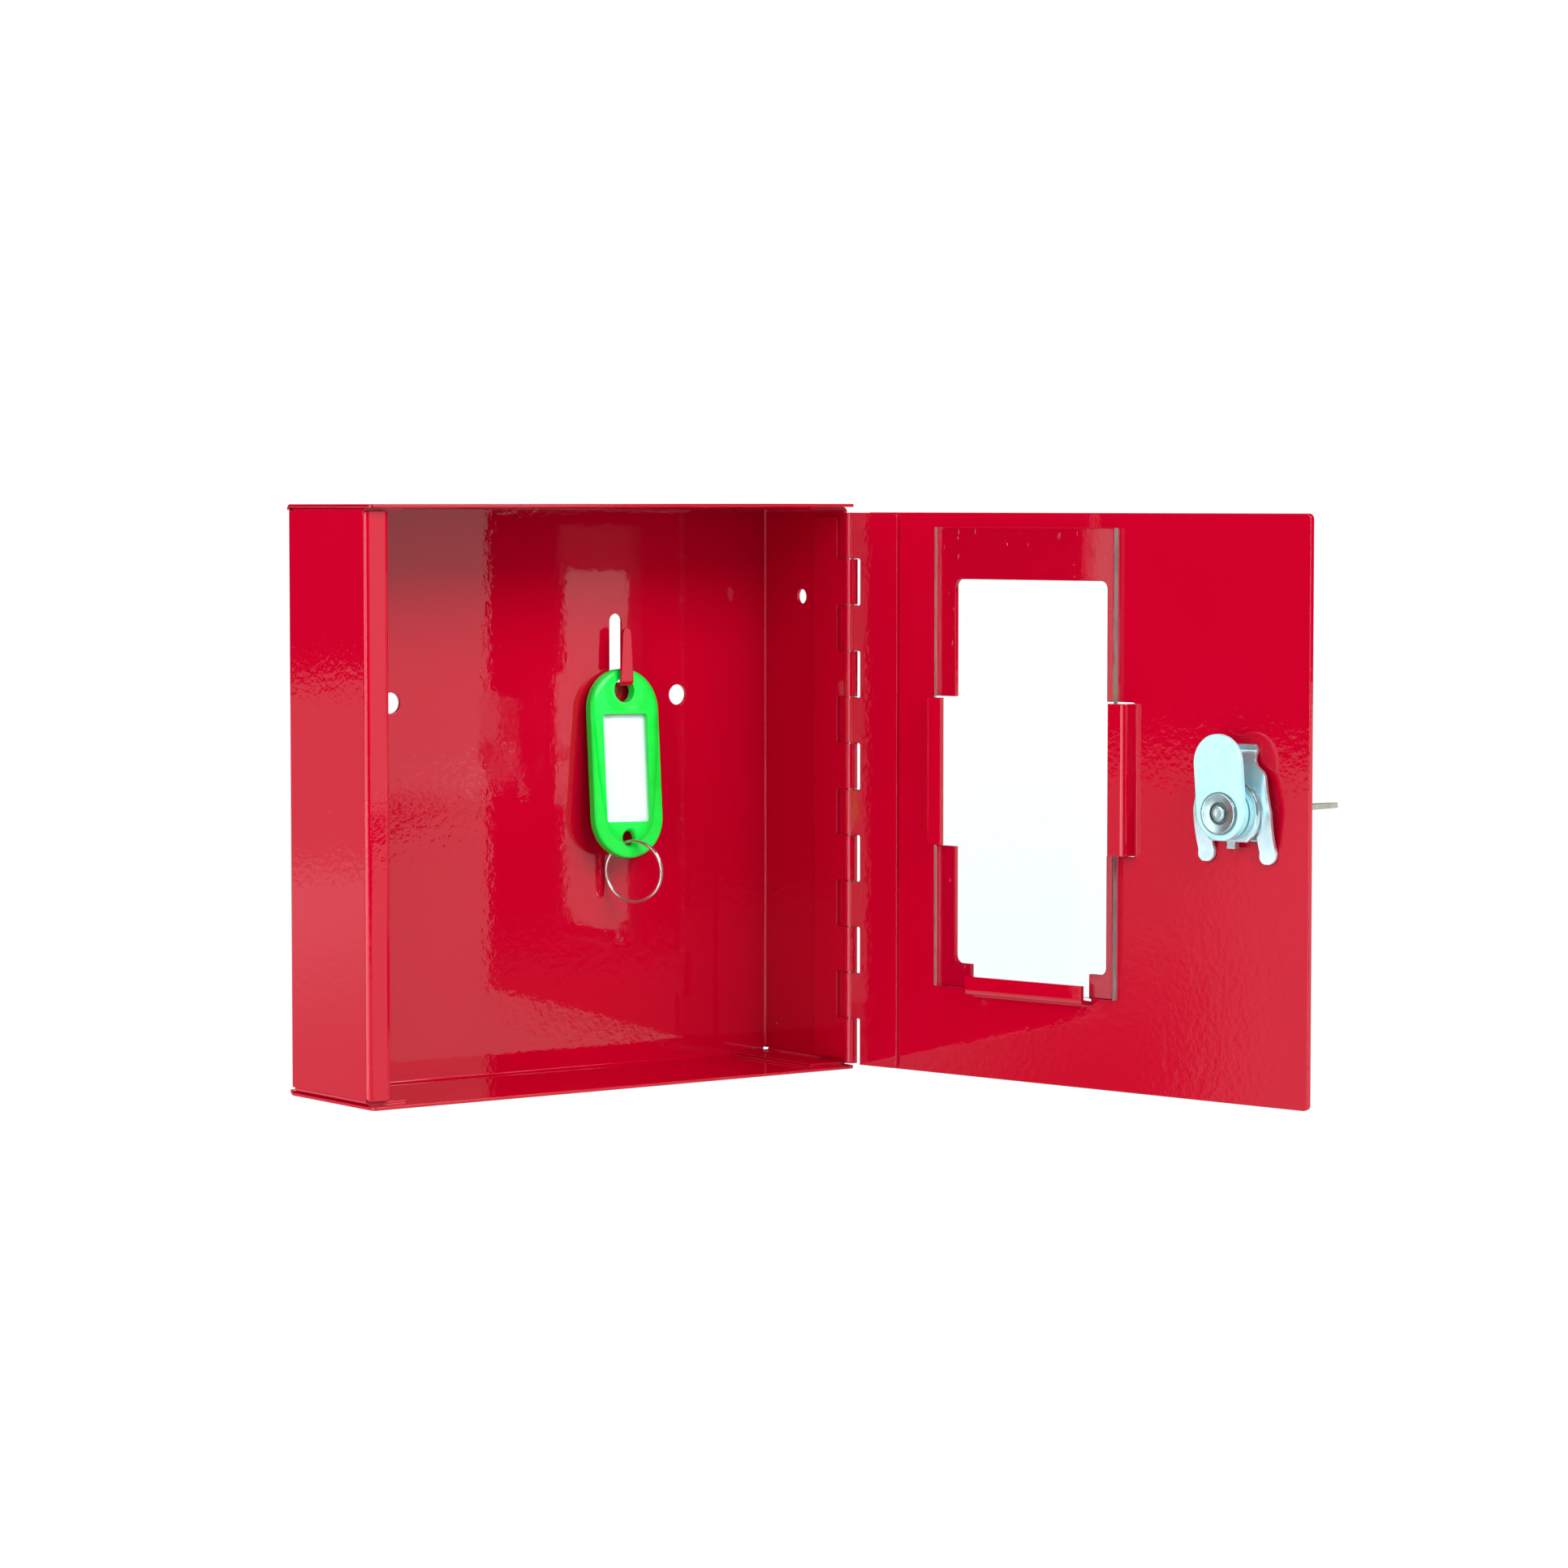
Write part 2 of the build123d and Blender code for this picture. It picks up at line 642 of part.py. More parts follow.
with BuildPart() as lock_plug:
    with BuildSketch(core_plane.offset(plug_front)):
        Circle(plug_diameter / 2)
    extrude(amount=stop_face - plug_front)
    with BuildSketch(core_plane.offset(plug_front)):
        Circle(plug_lip_diameter / 2)
    extrude(amount=plug_lip_depth)
    with BuildSketch(core_plane.offset(stop_face)):
        Circle(tail_diameter / 2)
        Rectangle(tail_diameter, tail_flats, mode=Mode.INTERSECT)
    extrude(amount=cam_back - stop_face)
    # Keyway
    with BuildSketch(core_plane.offset(plug_front)):
        Rectangle(blade_width + 2 * blade_gap, key_thickness + 2 * blade_gap)
    extrude(amount=blade_length + seam_gap, mode=Mode.SUBTRACT)
    # Wafer slots with a pocket for each spring
    for middle in wafer_middles:
        with BuildSketch(core_plane.offset(middle - wafer_slot / 2)):
            Rectangle(plug_diameter, wafer_breadth + 2 * wafer_slot_gap)
            with Locations((0, ear_middle)):
                Rectangle(
                    2 * (wafer_ear_rise + wafer_ear_height) + 2 * wafer_slot_gap,
                    wafer_ear_breadth + 2 * wafer_slot_gap,
                )
            Circle(plug_diameter / 2, mode=Mode.INTERSECT)
        extrude(amount=wafer_slot, mode=Mode.SUBTRACT)
    # Hole for the rivet's stem
    with BuildSketch(core_plane.offset(cam_back)):
        Circle(rivet_stem_diameter / 2)
    extrude(amount=-rivet_stem_length, mode=Mode.SUBTRACT)
lock_plug.part.label = "lock_plug"
export_step(lock_plug.part, "parts/lock_plug.step")

for n, middle in enumerate(wafer_middles, 1):
    with BuildPart() as wafer:
        with BuildSketch(core_plane.offset(middle - wafer_thickness / 2)):
            Rectangle(plug_diameter, wafer_breadth)
            with Locations((wafer_ear_rise + wafer_ear_height / 2, ear_middle)):
                Rectangle(wafer_ear_height, wafer_ear_breadth)
            Circle(wafer_radius, mode=Mode.INTERSECT)
            Rectangle(
                blade_width + 2 * wafer_window_gap,
                key_thickness + 2 * wafer_window_gap,
                mode=Mode.SUBTRACT,
            )
        extrude(amount=wafer_thickness)
    wafer.part.label = f"wafer_{n}"
    export_step(wafer.part, f"parts/wafer_{n}.step")
    spring_foot = core_plane.offset(middle).from_local_coords(
        (wafer_ear_rise - wafer_spring_length - wafer_spring_wire / 2, wafer_spring_offset, 0)
    )
    coil_radius = (wafer_spring_diameter - wafer_spring_wire) / 2
    with BuildPart() as wafer_spring:
        with BuildLine():
            coil = Helix(
                pitch=wafer_spring_length / wafer_spring_turns,
                height=wafer_spring_length,
                radius=coil_radius,
                center=spring_foot,
                direction=core_plane.x_dir,
            )
        with BuildSketch(Plane(origin=coil @ 0, z_dir=coil % 0)):
            Circle(wafer_spring_wire / 2)
        sweep(path=coil, is_frenet=True)
    wafer_spring.part.label = f"wafer_spring_{n}"
    export_step(wafer_spring.part, f"parts/wafer_spring_{n}.step")

with BuildPart() as stop_washer:
    with BuildSketch(core_plane.offset(stop_face)):
        Circle(stop_diameter / 2)
    extrude(amount=stop_thickness)
    with BuildSketch(core_plane.offset(stop_face)):
        Circle(tail_diameter / 2 + contact_gap)
        Rectangle(stop_diameter, tail_flats + 2 * contact_gap, mode=Mode.INTERSECT)
    extrude(amount=stop_thickness, mode=Mode.SUBTRACT)
stop_washer.part.label = "stop_washer"
export_step(stop_washer.part, "parts/stop_washer.step")

with BuildPart() as lock_cam:
    with BuildSketch(core_plane.offset(cam_face)):
        with Locations((0, (cam_reach - cam_heel) / 2)):
            SlotOverall(cam_reach + cam_heel, cam_width, rotation=90)
    extrude(amount=cam_thickness)
    cam_sides = lock_cam.faces().sort_by(SortBy.AREA)[-2:]
    chamfer(cam_sides.edges(), cam_edge)
    with BuildSketch(core_plane.offset(cam_face)):
        Circle(tail_diameter / 2 + contact_gap)
        Rectangle(stop_diameter, tail_flats + 2 * contact_gap, mode=Mode.INTERSECT)
    extrude(amount=cam_thickness, mode=Mode.SUBTRACT)
lock_cam.part.label = "lock_cam"
export_step(lock_cam.part, "parts/lock_cam.step")

# Drawn on the core's middle plane: x across, y towards the door's inner side
rivet_plane = Plane(
    origin=core_plane.offset(cam_back).origin,
    x_dir=core_plane.x_dir,
    z_dir=core_plane.y_dir * -1,
)
rivet_radius = rivet_diameter / 2
pin_face_radius = rivet_pin_diameter / 2 - rivet_pin_edge

with BuildPart() as cam_rivet:
    with BuildSketch(rivet_plane):
        with BuildLine():
            Polyline(
                (0, -rivet_stem_length),
                (rivet_stem_diameter / 2, -rivet_stem_length),
                (rivet_stem_diameter / 2, 0),
                (rivet_radius, 0),
                (rivet_radius, rivet_height - rivet_edge),
                (rivet_radius - rivet_edge, rivet_height),
                (rivet_radius - rivet_edge - rivet_rim, rivet_height),
                (rivet_well_diameter / 2, rivet_dish_height),
                (rivet_well_diameter / 2, rivet_well_height),
                (rivet_pin_diameter / 2, rivet_well_height),
                (rivet_pin_diameter / 2, rivet_pin_height - rivet_pin_edge),
                (pin_face_radius, rivet_pin_height),
                (0, rivet_pin_height),
                close=True,
            )
        make_face()
    revolve(axis=Axis(lock_origin, door_inward))
cam_rivet.part.label = "cam_rivet"
export_step(cam_rivet.part, "parts/cam_rivet.step")

# ------------------------------------------------------------------ key
# Drawn on the core's middle plane: x across the bow, y towards the door's inner side.
bow_start = head_face - key_neck_length
key_plane = Plane(origin=lock_origin, x_dir=core_plane.x_dir, z_dir=core_plane.y_dir * -1)

with BuildPart() as lock_key:
    with BuildSketch(key_plane.offset(-key_thickness / 2)):
        with Locations((0, (head_face + blade_end) / 2)):
            Rectangle(blade_width, blade_end - head_face)
        for middle in wafer_middles:
            with Locations((blade_width / 2, middle)):
                Rectangle(blade_cut_width, 2 * blade_cut, mode=Mode.SUBTRACT)
        neck_end = head_face - seam_gap
        with Locations((0, (bow_start - bow_corner + neck_end) / 2)):
            Rectangle(key_neck_width, neck_end - bow_start + bow_corner)
        with Locations((0, (neck_end + head_face) / 2)):
            Rectangle(blade_width, 2 * seam_gap)
        with Locations((0, bow_start - bow_length / 2)):
            RectangleRounded(bow_width, bow_length, bow_corner)
        with Locations((0, bow_start - bow_length + bow_hole_inset)):
            Circle(bow_hole_diameter / 2, mode=Mode.SUBTRACT)
    extrude(amount=key_thickness)
lock_key.part.label = "lock_key"
export_step(lock_key.part, "parts/lock_key.step")

# ------------------------------------------------------------------ key tag

with BuildPart() as tag_body:
    with BuildSketch(tag_plane.offset(-tag_face)):
        with Locations((0, -tag_middle_drop)):
            SlotOverall(tag_length, tag_width, rotation=90)
    extrude(amount=tag_thickness)
    tag_sides = tag_body.faces().sort_by(SortBy.AREA)[-2:]
    fillet(tag_sides.edges(), tag_edge)
    with BuildSketch(tag_plane.offset(-tag_face)):
        Circle(eye_radius)
        with Locations((0, -ring_hole_drop)):
            Circle(ring_hole_radius)
    extrude(amount=tag_thickness, mode=Mode.SUBTRACT)
    hole_edges = tag_body.edges().filter_by(GeomType.CIRCLE)
    chamfer(hole_edges.filter_by(lambda rim: rim.radius == ring_hole_radius), ring_hole_edge)
    with BuildSketch(tag_plane.offset(tag_face - pocket_depth)):
        with Locations((0, -label_drop)):
            RectangleRounded(label_width, label_length, label_corner)
    extrude(amount=pocket_depth, mode=Mode.SUBTRACT)
tag_body.part.label = "tag_body"
export_step(tag_body.part, "parts/tag_body.step")

with BuildPart() as tag_label:
    with BuildSketch(tag_plane.offset(tag_face - pocket_depth)):
        with Locations((0, -label_drop)):
            RectangleRounded(
                label_width - 2 * contact_gap, label_length - 2 * contact_gap, label_corner
            )
    extrude(amount=label_thickness)
tag_label.part.label = "tag_label"
export_step(tag_label.part, "parts/tag_label.step")

with BuildPart() as tag_window:
    with BuildSketch(tag_plane.offset(tag_face - pocket_depth + label_thickness)):
        with Locations((0, -label_drop)):
            RectangleRounded(
                label_width - 2 * contact_gap, label_length - 2 * contact_gap, label_corner
            )
    extrude(amount=cover_thickness)
tag_window.part.label = "tag_window"
export_step(tag_window.part, "parts/tag_window.step")

# ------------------------------------------------------------------ split ring
ring_mid_radius = (ring_diameter - ring_wall) / 2
ring_axis = Vector(sin(radians(ring_turn)), cos(radians(ring_turn)), 0)
ring_forward = Vector(cos(radians(ring_turn)), -sin(radians(ring_turn)), 0)
hole_middle = tag_plane.from_local_coords((0, -ring_hole_drop, 0))
ring_crossing = ring_lift + ring_wall / 2 - ring_hole_radius
ring_drop = sqrt(ring_mid_radius**2 - ring_slip**2)
ring_middle = hole_middle + ring_forward * ring_slip + Vector(0, 0, ring_crossing - ring_drop)
ring_plane = Plane(origin=ring_middle, x_dir=ring_forward, z_dir=ring_axis)

with BuildPart() as split_ring:
    with BuildSketch(ring_plane.offset(-ring_depth / 2)):
        Circle(ring_diameter / 2)
        Circle(ring_diameter / 2 - ring_wall, mode=Mode.SUBTRACT)
    extrude(amount=ring_depth)
    fillet(split_ring.edges().filter_by(GeomType.CIRCLE), ring_edge)
    # The line between the two turns
    with BuildSketch(ring_plane.offset(-ring_groove / 2)):
        Circle(ring_diameter / 2)
        Circle(ring_diameter / 2 - ring_groove_depth, mode=Mode.SUBTRACT)
        Circle(ring_diameter / 2 - ring_wall + ring_groove_depth)
        Circle(ring_diameter / 2 - ring_wall, mode=Mode.SUBTRACT)
    extrude(amount=ring_groove, mode=Mode.SUBTRACT)
split_ring.part.label = "split_ring"
export_step(split_ring.part, "parts/split_ring.step")
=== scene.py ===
import json
import math

import bmesh
import bpy
from mathutils import Matrix, Vector


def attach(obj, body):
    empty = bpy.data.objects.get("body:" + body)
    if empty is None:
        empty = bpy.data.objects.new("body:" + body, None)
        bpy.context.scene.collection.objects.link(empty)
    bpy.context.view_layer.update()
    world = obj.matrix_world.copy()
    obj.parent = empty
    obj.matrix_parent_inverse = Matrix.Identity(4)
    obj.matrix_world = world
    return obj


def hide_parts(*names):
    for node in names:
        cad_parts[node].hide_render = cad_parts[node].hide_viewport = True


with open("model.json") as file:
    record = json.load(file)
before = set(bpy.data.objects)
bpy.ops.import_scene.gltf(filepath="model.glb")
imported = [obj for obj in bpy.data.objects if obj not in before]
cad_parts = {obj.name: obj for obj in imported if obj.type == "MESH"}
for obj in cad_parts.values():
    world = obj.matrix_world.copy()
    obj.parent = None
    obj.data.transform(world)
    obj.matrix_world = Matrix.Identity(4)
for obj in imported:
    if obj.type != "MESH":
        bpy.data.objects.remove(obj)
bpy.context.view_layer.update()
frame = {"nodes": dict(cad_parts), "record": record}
nodes = frame["nodes"]

# A break glass key box with its door open, seen from the front and the left.
# Metres, in the part's frame: X to the right, Y into the wall, Z up.

# ---------------------------------------------------------------- places on the part
MM = 0.001
UNDERSIDE = -99.0 * MM
DOOR_ANGLE = math.radians(101.5)
HINGE_AXIS = Vector((0.0747, -0.0385, 0.0))
ALONG = Vector((-math.cos(DOOR_ANGLE), -math.sin(DOOR_ANGLE), 0.0))  # from the hinge to the lock
INWARD = Vector((-math.sin(DOOR_ANGLE), math.cos(DOOR_ANGLE), 0.0))  # out of the door's inner face

PANE_FOOT = UNDERSIDE + 24.5 * MM
PANE_TINT_HEIGHT = 80.0 * MM

LOCK_REACH = 128.2 * MM     # hinge axis to the lock's axis
LOCK_RISE = 74.0 * MM       # above the underside
LOCK = HINGE_AXIS + ALONG * LOCK_REACH + Vector((0.0, 0.0, UNDERSIDE + LOCK_RISE))
CAM_BACK = 8.6 * MM         # the cam's back, from the hinge axis
CLIP_TIPS = LOCK.z - 8.2 * MM
CLIP_TIPS_FADE = 1.6 * MM

# The rivet, from the cam's back
STEM_RADIUS = 1.5 * MM
STEM_LENGTH = 2.4 * MM
RIM_RADIUS = 5.3 * MM
RIM_HEIGHT = 0.9 * MM
WELL_RADIUS = 2.52 * MM
WELL_HEIGHT = 0.15 * MM
PIN_RADIUS = 2.1 * MM
PIN_HEIGHT = 0.85 * MM

# The key tag
EYE = Vector((25.0 * MM, -3.45 * MM, 1.66 * MM))
TAG_LEAN = math.radians(5.4)
TAG_SWAY = math.radians(1.0)
TAG_UP = Matrix.Rotation(TAG_LEAN, 3, "X") @ Vector((math.sin(TAG_SWAY), 0.0, math.cos(TAG_SWAY)))
TAG_TOP_CENTRE = -5.15 * MM      # centres of its round ends, from the eye along TAG_UP
TAG_FOOT_CENTRE = -33.55 * MM


# ---------------------------------------------------------------- shader helpers
class Tree:
    """The shader nodes of a material or of the world."""

    def __init__(self, owner, output="ShaderNodeOutputMaterial"):
        owner.use_nodes = True
        self.owner = owner
        self.tree = owner.node_tree
        self.tree.nodes.clear()
        self.target = self.add(output).inputs["Surface"]

    def add(self, kind, **props):
        node = self.tree.nodes.new(kind)
        for key, value in props.items():
            setattr(node, key, value)
        return node

    def put(self, value, socket):
        """Set a socket to a number, colour or vector, or link an output to it."""
        if isinstance(value, tuple) and socket.type == "RGBA":
            socket.default_value = (*value, 1.0)
        elif isinstance(value, (int, float, tuple, Vector)):
            socket.default_value = value
        else:
            self.tree.links.new(value, socket)

    def node(self, kind, *values, **props):
        """A node whose first inputs take the values."""
        node = self.add(kind, **props)
        for socket, value in zip(node.inputs, values):
            self.put(value, socket)
        return node

    def place(self):
        return self.add("ShaderNodeTexCoord").outputs["Object"]

    def axes(self):
        return self.node("ShaderNodeSeparateXYZ", self.place()).outputs

    def path(self):
        return self.add("ShaderNodeLightPath").outputs

    def noise(self, scale, detail=2.0, rough=0.5, stretch=None):
        n = self.add("ShaderNodeTexNoise")
        n.inputs["Scale"].default_value = scale
        n.inputs["Detail"].default_value = detail
        n.inputs["Roughness"].default_value = rough
        vector = self.place()
        if stretch:
            mapping = self.add("ShaderNodeMapping")
            self.put(stretch, mapping.inputs["Scale"])
            self.put(vector, mapping.inputs["Vector"])
            vector = mapping.outputs["Vector"]
        self.put(vector, n.inputs["Vector"])
        return n.outputs["Fac"]

    def spots(self, scale, size):
        """1 at scattered points, falling to 0 within the size, in cells of the scale."""
        n = self.add("ShaderNodeTexVoronoi")
        self.put(scale, n.inputs["Scale"])
        self.put(self.place(), n.inputs["Vector"])
        return self.remap(n.outputs["Distance"], 0.0, size, 1.0, 0.0)

    def math(self, operation, *values):
        return self.node("ShaderNodeMath", *values, operation=operation).outputs[0]

    def vector(self, operation, *values):
        n = self.node("ShaderNodeVectorMath", *values, operation=operation)
        return n.outputs["Value" if operation in ("LENGTH", "DOT_PRODUCT", "DISTANCE") else "Vector"]

    def remap(self, value, lo, hi, to_lo=0.0, to_hi=1.0, smooth=False):
        n = self.node("ShaderNodeMapRange", value, lo, hi, to_lo, to_hi)
        if smooth:
            n.interpolation_type = "SMOOTHSTEP"
        return n.outputs["Result"]

    def near(self, value, centre, inner, outer, peak):
        """The peak where the value is close to the centre, falling to 0."""
        away = self.math("ABSOLUTE", self.math("SUBTRACT", value, centre))
        return self.remap(away, inner, outer, peak, 0.0)

    def mix(self, fac, a, b):
        n = self.add("ShaderNodeMix", data_type="RGBA")
        for number, value in ((0, fac), (6, a), (7, b)):
            self.put(value, n.inputs[number])
        return n.outputs[2]

    def bump(self, height, strength, distance, normal=None):
        n = self.add("ShaderNodeBump")
        self.put(strength, n.inputs["Strength"])
        self.put(distance, n.inputs["Distance"])
        self.put(height, n.inputs["Height"])
        if normal is not None:
            self.put(normal, n.inputs["Normal"])
        return n.outputs["Normal"]

    def edge(self, radius, samples=4):
        n = self.add("ShaderNodeBevel", samples=samples)
        self.put(radius, n.inputs["Radius"])
        return n.outputs["Normal"]

    def shader(self, kind, **values):
        n = self.add(kind)
        for key, value in values.items():
            self.put(value, n.inputs[key.replace("_", " ")])
        return n.outputs[0]

    def surface(self, **values):
        return self.shader("ShaderNodeBsdfPrincipled", **values)

    def blend(self, fac, a, b):
        return self.node("ShaderNodeMixShader", fac, a, b).outputs[0]

    def finish(self, shader):
        self.tree.links.new(shader, self.target)
        return self.owner


def material(name):
    return Tree(bpy.data.materials.new(name))


# ---------------------------------------------------------------- materials
def red_paint():
    """Glossy enamel: orange peel, slow waves, fine scuffs and a few specks of dust."""
    m = material("red_paint")
    peel = m.noise(600.0, 2.0, 0.5)
    wave = m.noise(125.0, 2.0, 0.5)
    speck = m.math("MULTIPLY", m.spots(170.0, 0.045), m.remap(m.noise(95.0, 0.0), 0.66, 0.70))
    tone = m.remap(m.noise(25.0, 3.0), 0.3, 0.7)
    base = m.mix(tone, (0.480, 0.0002, 0.0170), (0.500, 0.0003, 0.0195))
    base = m.mix(speck, base, (0.75, 0.35, 0.36))
    rough = m.remap(m.noise(180.0, 4.0, 0.6), 0.3, 0.7, 0.018, 0.032)
    scuff = m.remap(m.noise(900.0, 3.0, 0.6, stretch=(1.0, 0.12, 0.6)), 0.66, 0.76, 0.0, 0.05)
    normal = m.bump(wave, 0.07, 0.00021, m.edge(0.0004, 6))
    normal = m.bump(peel, 0.26, 0.00005, normal)
    shader = m.surface(
        Base_Color=base,
        Roughness=m.math("ADD", rough, scuff),
        Specular_IOR_Level=0.5,
        IOR=1.5,
        Normal=normal,
    )
    return m.finish(shader)


def metal(name, dark, light, rough=(0.18, 0.30), grain=(1.0, 1.0, 1.0), metallic=1.0):
    """Cloudy plating with a fine grain. The last three values can be changed before it is finished."""
    m = material(name)
    cloud = m.remap(m.noise(260.0, 4.0, 0.6), 0.3, 0.7)
    values = {
        "Base_Color": m.mix(cloud, dark, light),
        "Roughness": m.remap(m.noise(420.0, 3.0), 0.3, 0.7, *rough),
        "Metallic": metallic,
        "Normal": m.bump(m.noise(700.0, 4.0, 0.7, stretch=grain), 0.15, 0.00003, m.edge(0.00012)),
    }
    return m, values


def plated(name, dark, light, **look):
    m, values = metal(name, dark, light, **look)
    return m.finish(m.surface(**values))


def clip_steel():
    """Spring steel, less metallic on the clip's two lower tips so that they render lighter there: a
    painted highlight.
    """
    m, values = metal(
        "clip_steel", (0.62, 0.84, 0.90), (0.76, 0.95, 0.98), rough=(0.12, 0.19), grain=(1.0, 1.0, 0.15)
    )
    # Painted highlight: below the tips' height the steel turns less metallic and so shows lighter
    values["Metallic"] = m.remap(m.axes()["Z"], CLIP_TIPS - CLIP_TIPS_FADE, CLIP_TIPS, 0.10, 0.80)
    return m.finish(m.surface(**values))


def turned_steel():
    """The rivet's steel: rings left by turning, and painted shade darkening its well and the foot of
    its rim.
    """
    m, values = metal(
        "bright_steel", (0.25, 0.36, 0.38), (0.42, 0.57, 0.59), rough=(0.24, 0.34), metallic=0.80
    )
    radius = m.vector("CROSS_PRODUCT", m.vector("SUBTRACT", m.place(), LOCK), INWARD)
    radius = m.vector("LENGTH", radius)
    rings = m.math("SINE", m.math("MULTIPLY", radius, 26000.0))
    values["Normal"] = m.bump(rings, 0.10, 0.00002, values["Normal"])
    # Painted shade: the base colour darkens in the well about the pin and at the rim's foot, where
    # shade falls
    well = m.near(radius, 2.45 * MM, 0.1 * MM, 0.6 * MM, 0.85)
    rim_foot = m.near(radius, 5.4 * MM, 0.1 * MM, 0.5 * MM, 0.6)
    well_and_rim_shade = m.math("MAXIMUM", well, rim_foot)
    values["Base_Color"] = m.mix(well_and_rim_shade, values["Base_Color"], (0.05, 0.06, 0.065))
    return m.finish(m.surface(**values))


def green_plastic():
    """Moulded plastic, rounded off along its edge and sunk a little about the eye."""
    m = material("green_plastic")
    tone = m.remap(m.noise(75.0, 3.0, 0.6), 0.35, 0.65)
    base = m.mix(tone, (0.001, 0.72, 0.040), (0.004, 0.97, 0.085))
    # Distance from the line that joins the centres of the tag's round ends
    place = m.place()
    rise = m.vector("DOT_PRODUCT", m.vector("SUBTRACT", place, EYE), TAG_UP)
    rise = m.math("MINIMUM", m.math("MAXIMUM", rise, TAG_FOOT_CENTRE), TAG_TOP_CENTRE)
    spine = m.add("ShaderNodeVectorMath", operation="SCALE")
    m.put(TAG_UP, spine.inputs[0])
    m.put(rise, spine.inputs["Scale"])
    spine = m.vector("ADD", spine.outputs["Vector"], EYE)
    out = m.vector("DISTANCE", place, spine)
    rounding = m.math("POWER", m.remap(out, 8.8 * MM, 10.9 * MM), 2.0)
    sink = m.remap(m.vector("DISTANCE", place, EYE), 4.2 * MM, 6.6 * MM, smooth=True)
    normal = m.bump(m.noise(140.0, 2.0), 0.12, 0.0002, m.edge(0.0002))
    normal = m.bump(rounding, 1.0, -0.0007, normal)
    normal = m.bump(sink, 0.8, 0.00035, normal)
    # The base colour darkens towards the tag's edge: painted shade on its rounded edge and sides
    shader = m.surface(
        Base_Color=m.mix(m.remap(out, 9.2 * MM, 11.2 * MM, 0.0, 0.55), base, (0.001, 0.62, 0.03)),
        Roughness=m.remap(m.noise(500.0, 3.0), 0.3, 0.7, 0.14, 0.20),
        Specular_IOR_Level=0.35,
        IOR=1.5,
        Normal=normal,
    )
    return m.finish(shader)


def white_paper():
    m = material("white_paper")
    fibre = m.noise(1400.0, 4.0, 0.7, stretch=(1.0, 1.0, 0.35))
    base = m.mix(m.remap(fibre, 0.3, 0.7), (0.79, 0.93, 0.935), (0.83, 0.95, 0.955))
    return m.finish(m.surface(Base_Color=base, Roughness=0.75, Normal=m.bump(fibre, 0.12, 0.00004)))


def clear_film():
    """Thin clear plastic with a weak, slightly wavy reflection that casts no shadow."""
    m = material("clear_plastic")
    clear = m.shader("ShaderNodeBsdfTransparent", Color=(0.985, 0.99, 0.99))
    wavy = m.bump(m.noise(160.0, 2.0), 0.3, 0.0002)
    gloss = m.shader("ShaderNodeBsdfGlossy", Roughness=0.08, Normal=wavy)
    strength = m.math("SUBTRACT", 0.60, m.math("MULTIPLY", m.path()["Is Shadow Ray"], 0.60))
    fresnel = m.shader("ShaderNodeFresnel", IOR=1.45)
    return m.finish(m.blend(m.math("MULTIPLY", fresnel, strength), clear, gloss))


def pane_glass():
    """Clear acrylic, faintly blue low down, with scratches, dust and sawn edges."""
    m = material("pane_glass")
    low = m.remap(m.axes()["Z"], PANE_FOOT, PANE_FOOT + PANE_TINT_HEIGHT, 1.0, 0.0, smooth=True)
    tint = m.mix(low, (1.0, 1.0, 1.0), (0.955, 1.0, 1.0))
    through = m.shader("ShaderNodeBsdfRefraction", Color=tint, Roughness=0.0, IOR=1.49)
    mirror = m.shader("ShaderNodeBsdfGlossy", Color=(0.022, 0.022, 0.022), Roughness=0.02)
    clear = m.node("ShaderNodeAddShader", through, mirror).outputs[0]
    hair = m.remap(m.noise(2600.0, 1.0, 0.4, stretch=(1.0, 1.0, 0.12)), 0.775, 0.79)
    dust = m.math("MULTIPLY", m.spots(330.0, 0.07), m.remap(m.noise(120.0, 0.0), 0.62, 0.66))
    marks = m.math("MULTIPLY", m.math("MAXIMUM", hair, dust), 0.28)
    face = m.blend(marks, clear, m.shader("ShaderNodeBsdfDiffuse"))
    sawn = m.noise(500.0, 4.0, 0.7, stretch=(1.0, 1.0, 0.15))
    edge = m.surface(
        Base_Color=m.mix(m.remap(sawn, 0.3, 0.7), (0.20, 0.24, 0.23), (0.56, 0.64, 0.62)),
        Roughness=0.35,
        Transmission_Weight=0.45,
        IOR=1.49,
        Normal=m.bump(m.noise(900.0, 3.0, 0.6), 0.5, 0.00015),
    )
    facing = m.vector("DOT_PRODUCT", m.add("ShaderNodeTexCoord").outputs["Normal"], INWARD)
    on_edge = m.math("LESS_THAN", m.math("ABSOLUTE", facing), 0.6)
    shade = m.shader("ShaderNodeBsdfTransparent", Color=(0.93, 0.95, 0.95))
    return m.finish(m.blend(m.path()["Is Shadow Ray"], m.blend(on_edge, face, edge), shade))


